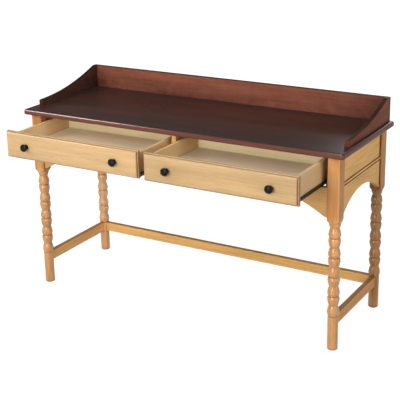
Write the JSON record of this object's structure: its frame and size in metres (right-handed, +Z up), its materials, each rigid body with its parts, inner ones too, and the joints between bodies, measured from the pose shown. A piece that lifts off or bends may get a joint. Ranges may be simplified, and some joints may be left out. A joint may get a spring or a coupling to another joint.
{
  "type": "sewing desk",
  "caption": "Shaker style sewing desk with a raised curved gallery, inset drawers on roller slides, arched valances and bobbin turned legs joined by low stretchers.",
  "frame": {"origin": "on the floor, in the middle of the room that the desk takes with both drawers drawn out as modelled", "axes": "+X to the sitter's right along the desk, +Y from the drawers to the gallery back, +Z up"},
  "size_m": [1.372, 0.717, 0.842],
  "materials": {
    "top_wood": "dark brown stain under satin lacquer",
    "frame_wood": "honey coloured clear lacquer",
    "drawer_wood": "pale clear lacquer",
    "slide_steel": "black powder coat",
    "roller_nylon": "moulded nylon",
    "knob_black": "satin black paint",
    "screw_steel": "zinc plated"
  },
  "bodies": {
    "desk": {"back_panel": "frame_wood", "centre_post": "frame_wood", "centre_runner": "frame_wood", "channel_left_inner": "slide_steel", "channel_left_outer": "slide_steel", "channel_right_inner": "slide_steel", "channel_right_outer": "slide_steel", "channel_rollers": "roller_nylon", "front_valance": "frame_wood", "gallery_back": "top_wood", "gallery_left": "top_wood", "gallery_right": "top_wood", "leg_front_left": "frame_wood", "leg_front_right": "frame_wood", "leg_rear_left": "frame_wood", "leg_rear_right": "frame_wood", "runner_cleat_left": "frame_wood", "runner_cleat_right": "frame_wood", "side_bead_left": "frame_wood", "side_bead_right": "frame_wood", "side_panel_left": "frame_wood", "side_panel_right": "frame_wood", "side_valance_left": "frame_wood", "side_valance_right": "frame_wood", "stretcher_left": "frame_wood", "stretcher_rear": "frame_wood", "stretcher_right": "frame_wood", "table_top": "top_wood", "top_cleat_left": "frame_wood", "top_cleat_right": "frame_wood", "top_rail": "frame_wood"},
    "drawer_left": {"drawer_left_back": "drawer_wood", "drawer_left_bottom": "drawer_wood", "drawer_left_front": "drawer_wood", "drawer_left_knob_screws": "screw_steel", "drawer_left_knobs": "knob_black", "drawer_left_rail_inner": "slide_steel", "drawer_left_rail_outer": "slide_steel", "drawer_left_rollers": "roller_nylon", "drawer_left_side_inner": "drawer_wood", "drawer_left_side_outer": "drawer_wood"},
    "drawer_right": {"drawer_right_back": "drawer_wood", "drawer_right_bottom": "drawer_wood", "drawer_right_front": "drawer_wood", "drawer_right_knob_screws": "screw_steel", "drawer_right_knobs": "knob_black", "drawer_right_rail_inner": "slide_steel", "drawer_right_rail_outer": "slide_steel", "drawer_right_rollers": "roller_nylon", "drawer_right_side_inner": "drawer_wood", "drawer_right_side_outer": "drawer_wood"}
  },
  "joints": [
    {"name": "drawer_left_slide", "type": "slide", "parent": "desk", "child": "drawer_left", "axis": [0, -1, 0], "range_m": [-0.22, 0.045]},
    {"name": "drawer_right_slide", "type": "slide", "parent": "desk", "child": "drawer_right", "axis": [0, -1, 0], "range_m": [-0.226, 0.039]}
  ]
}
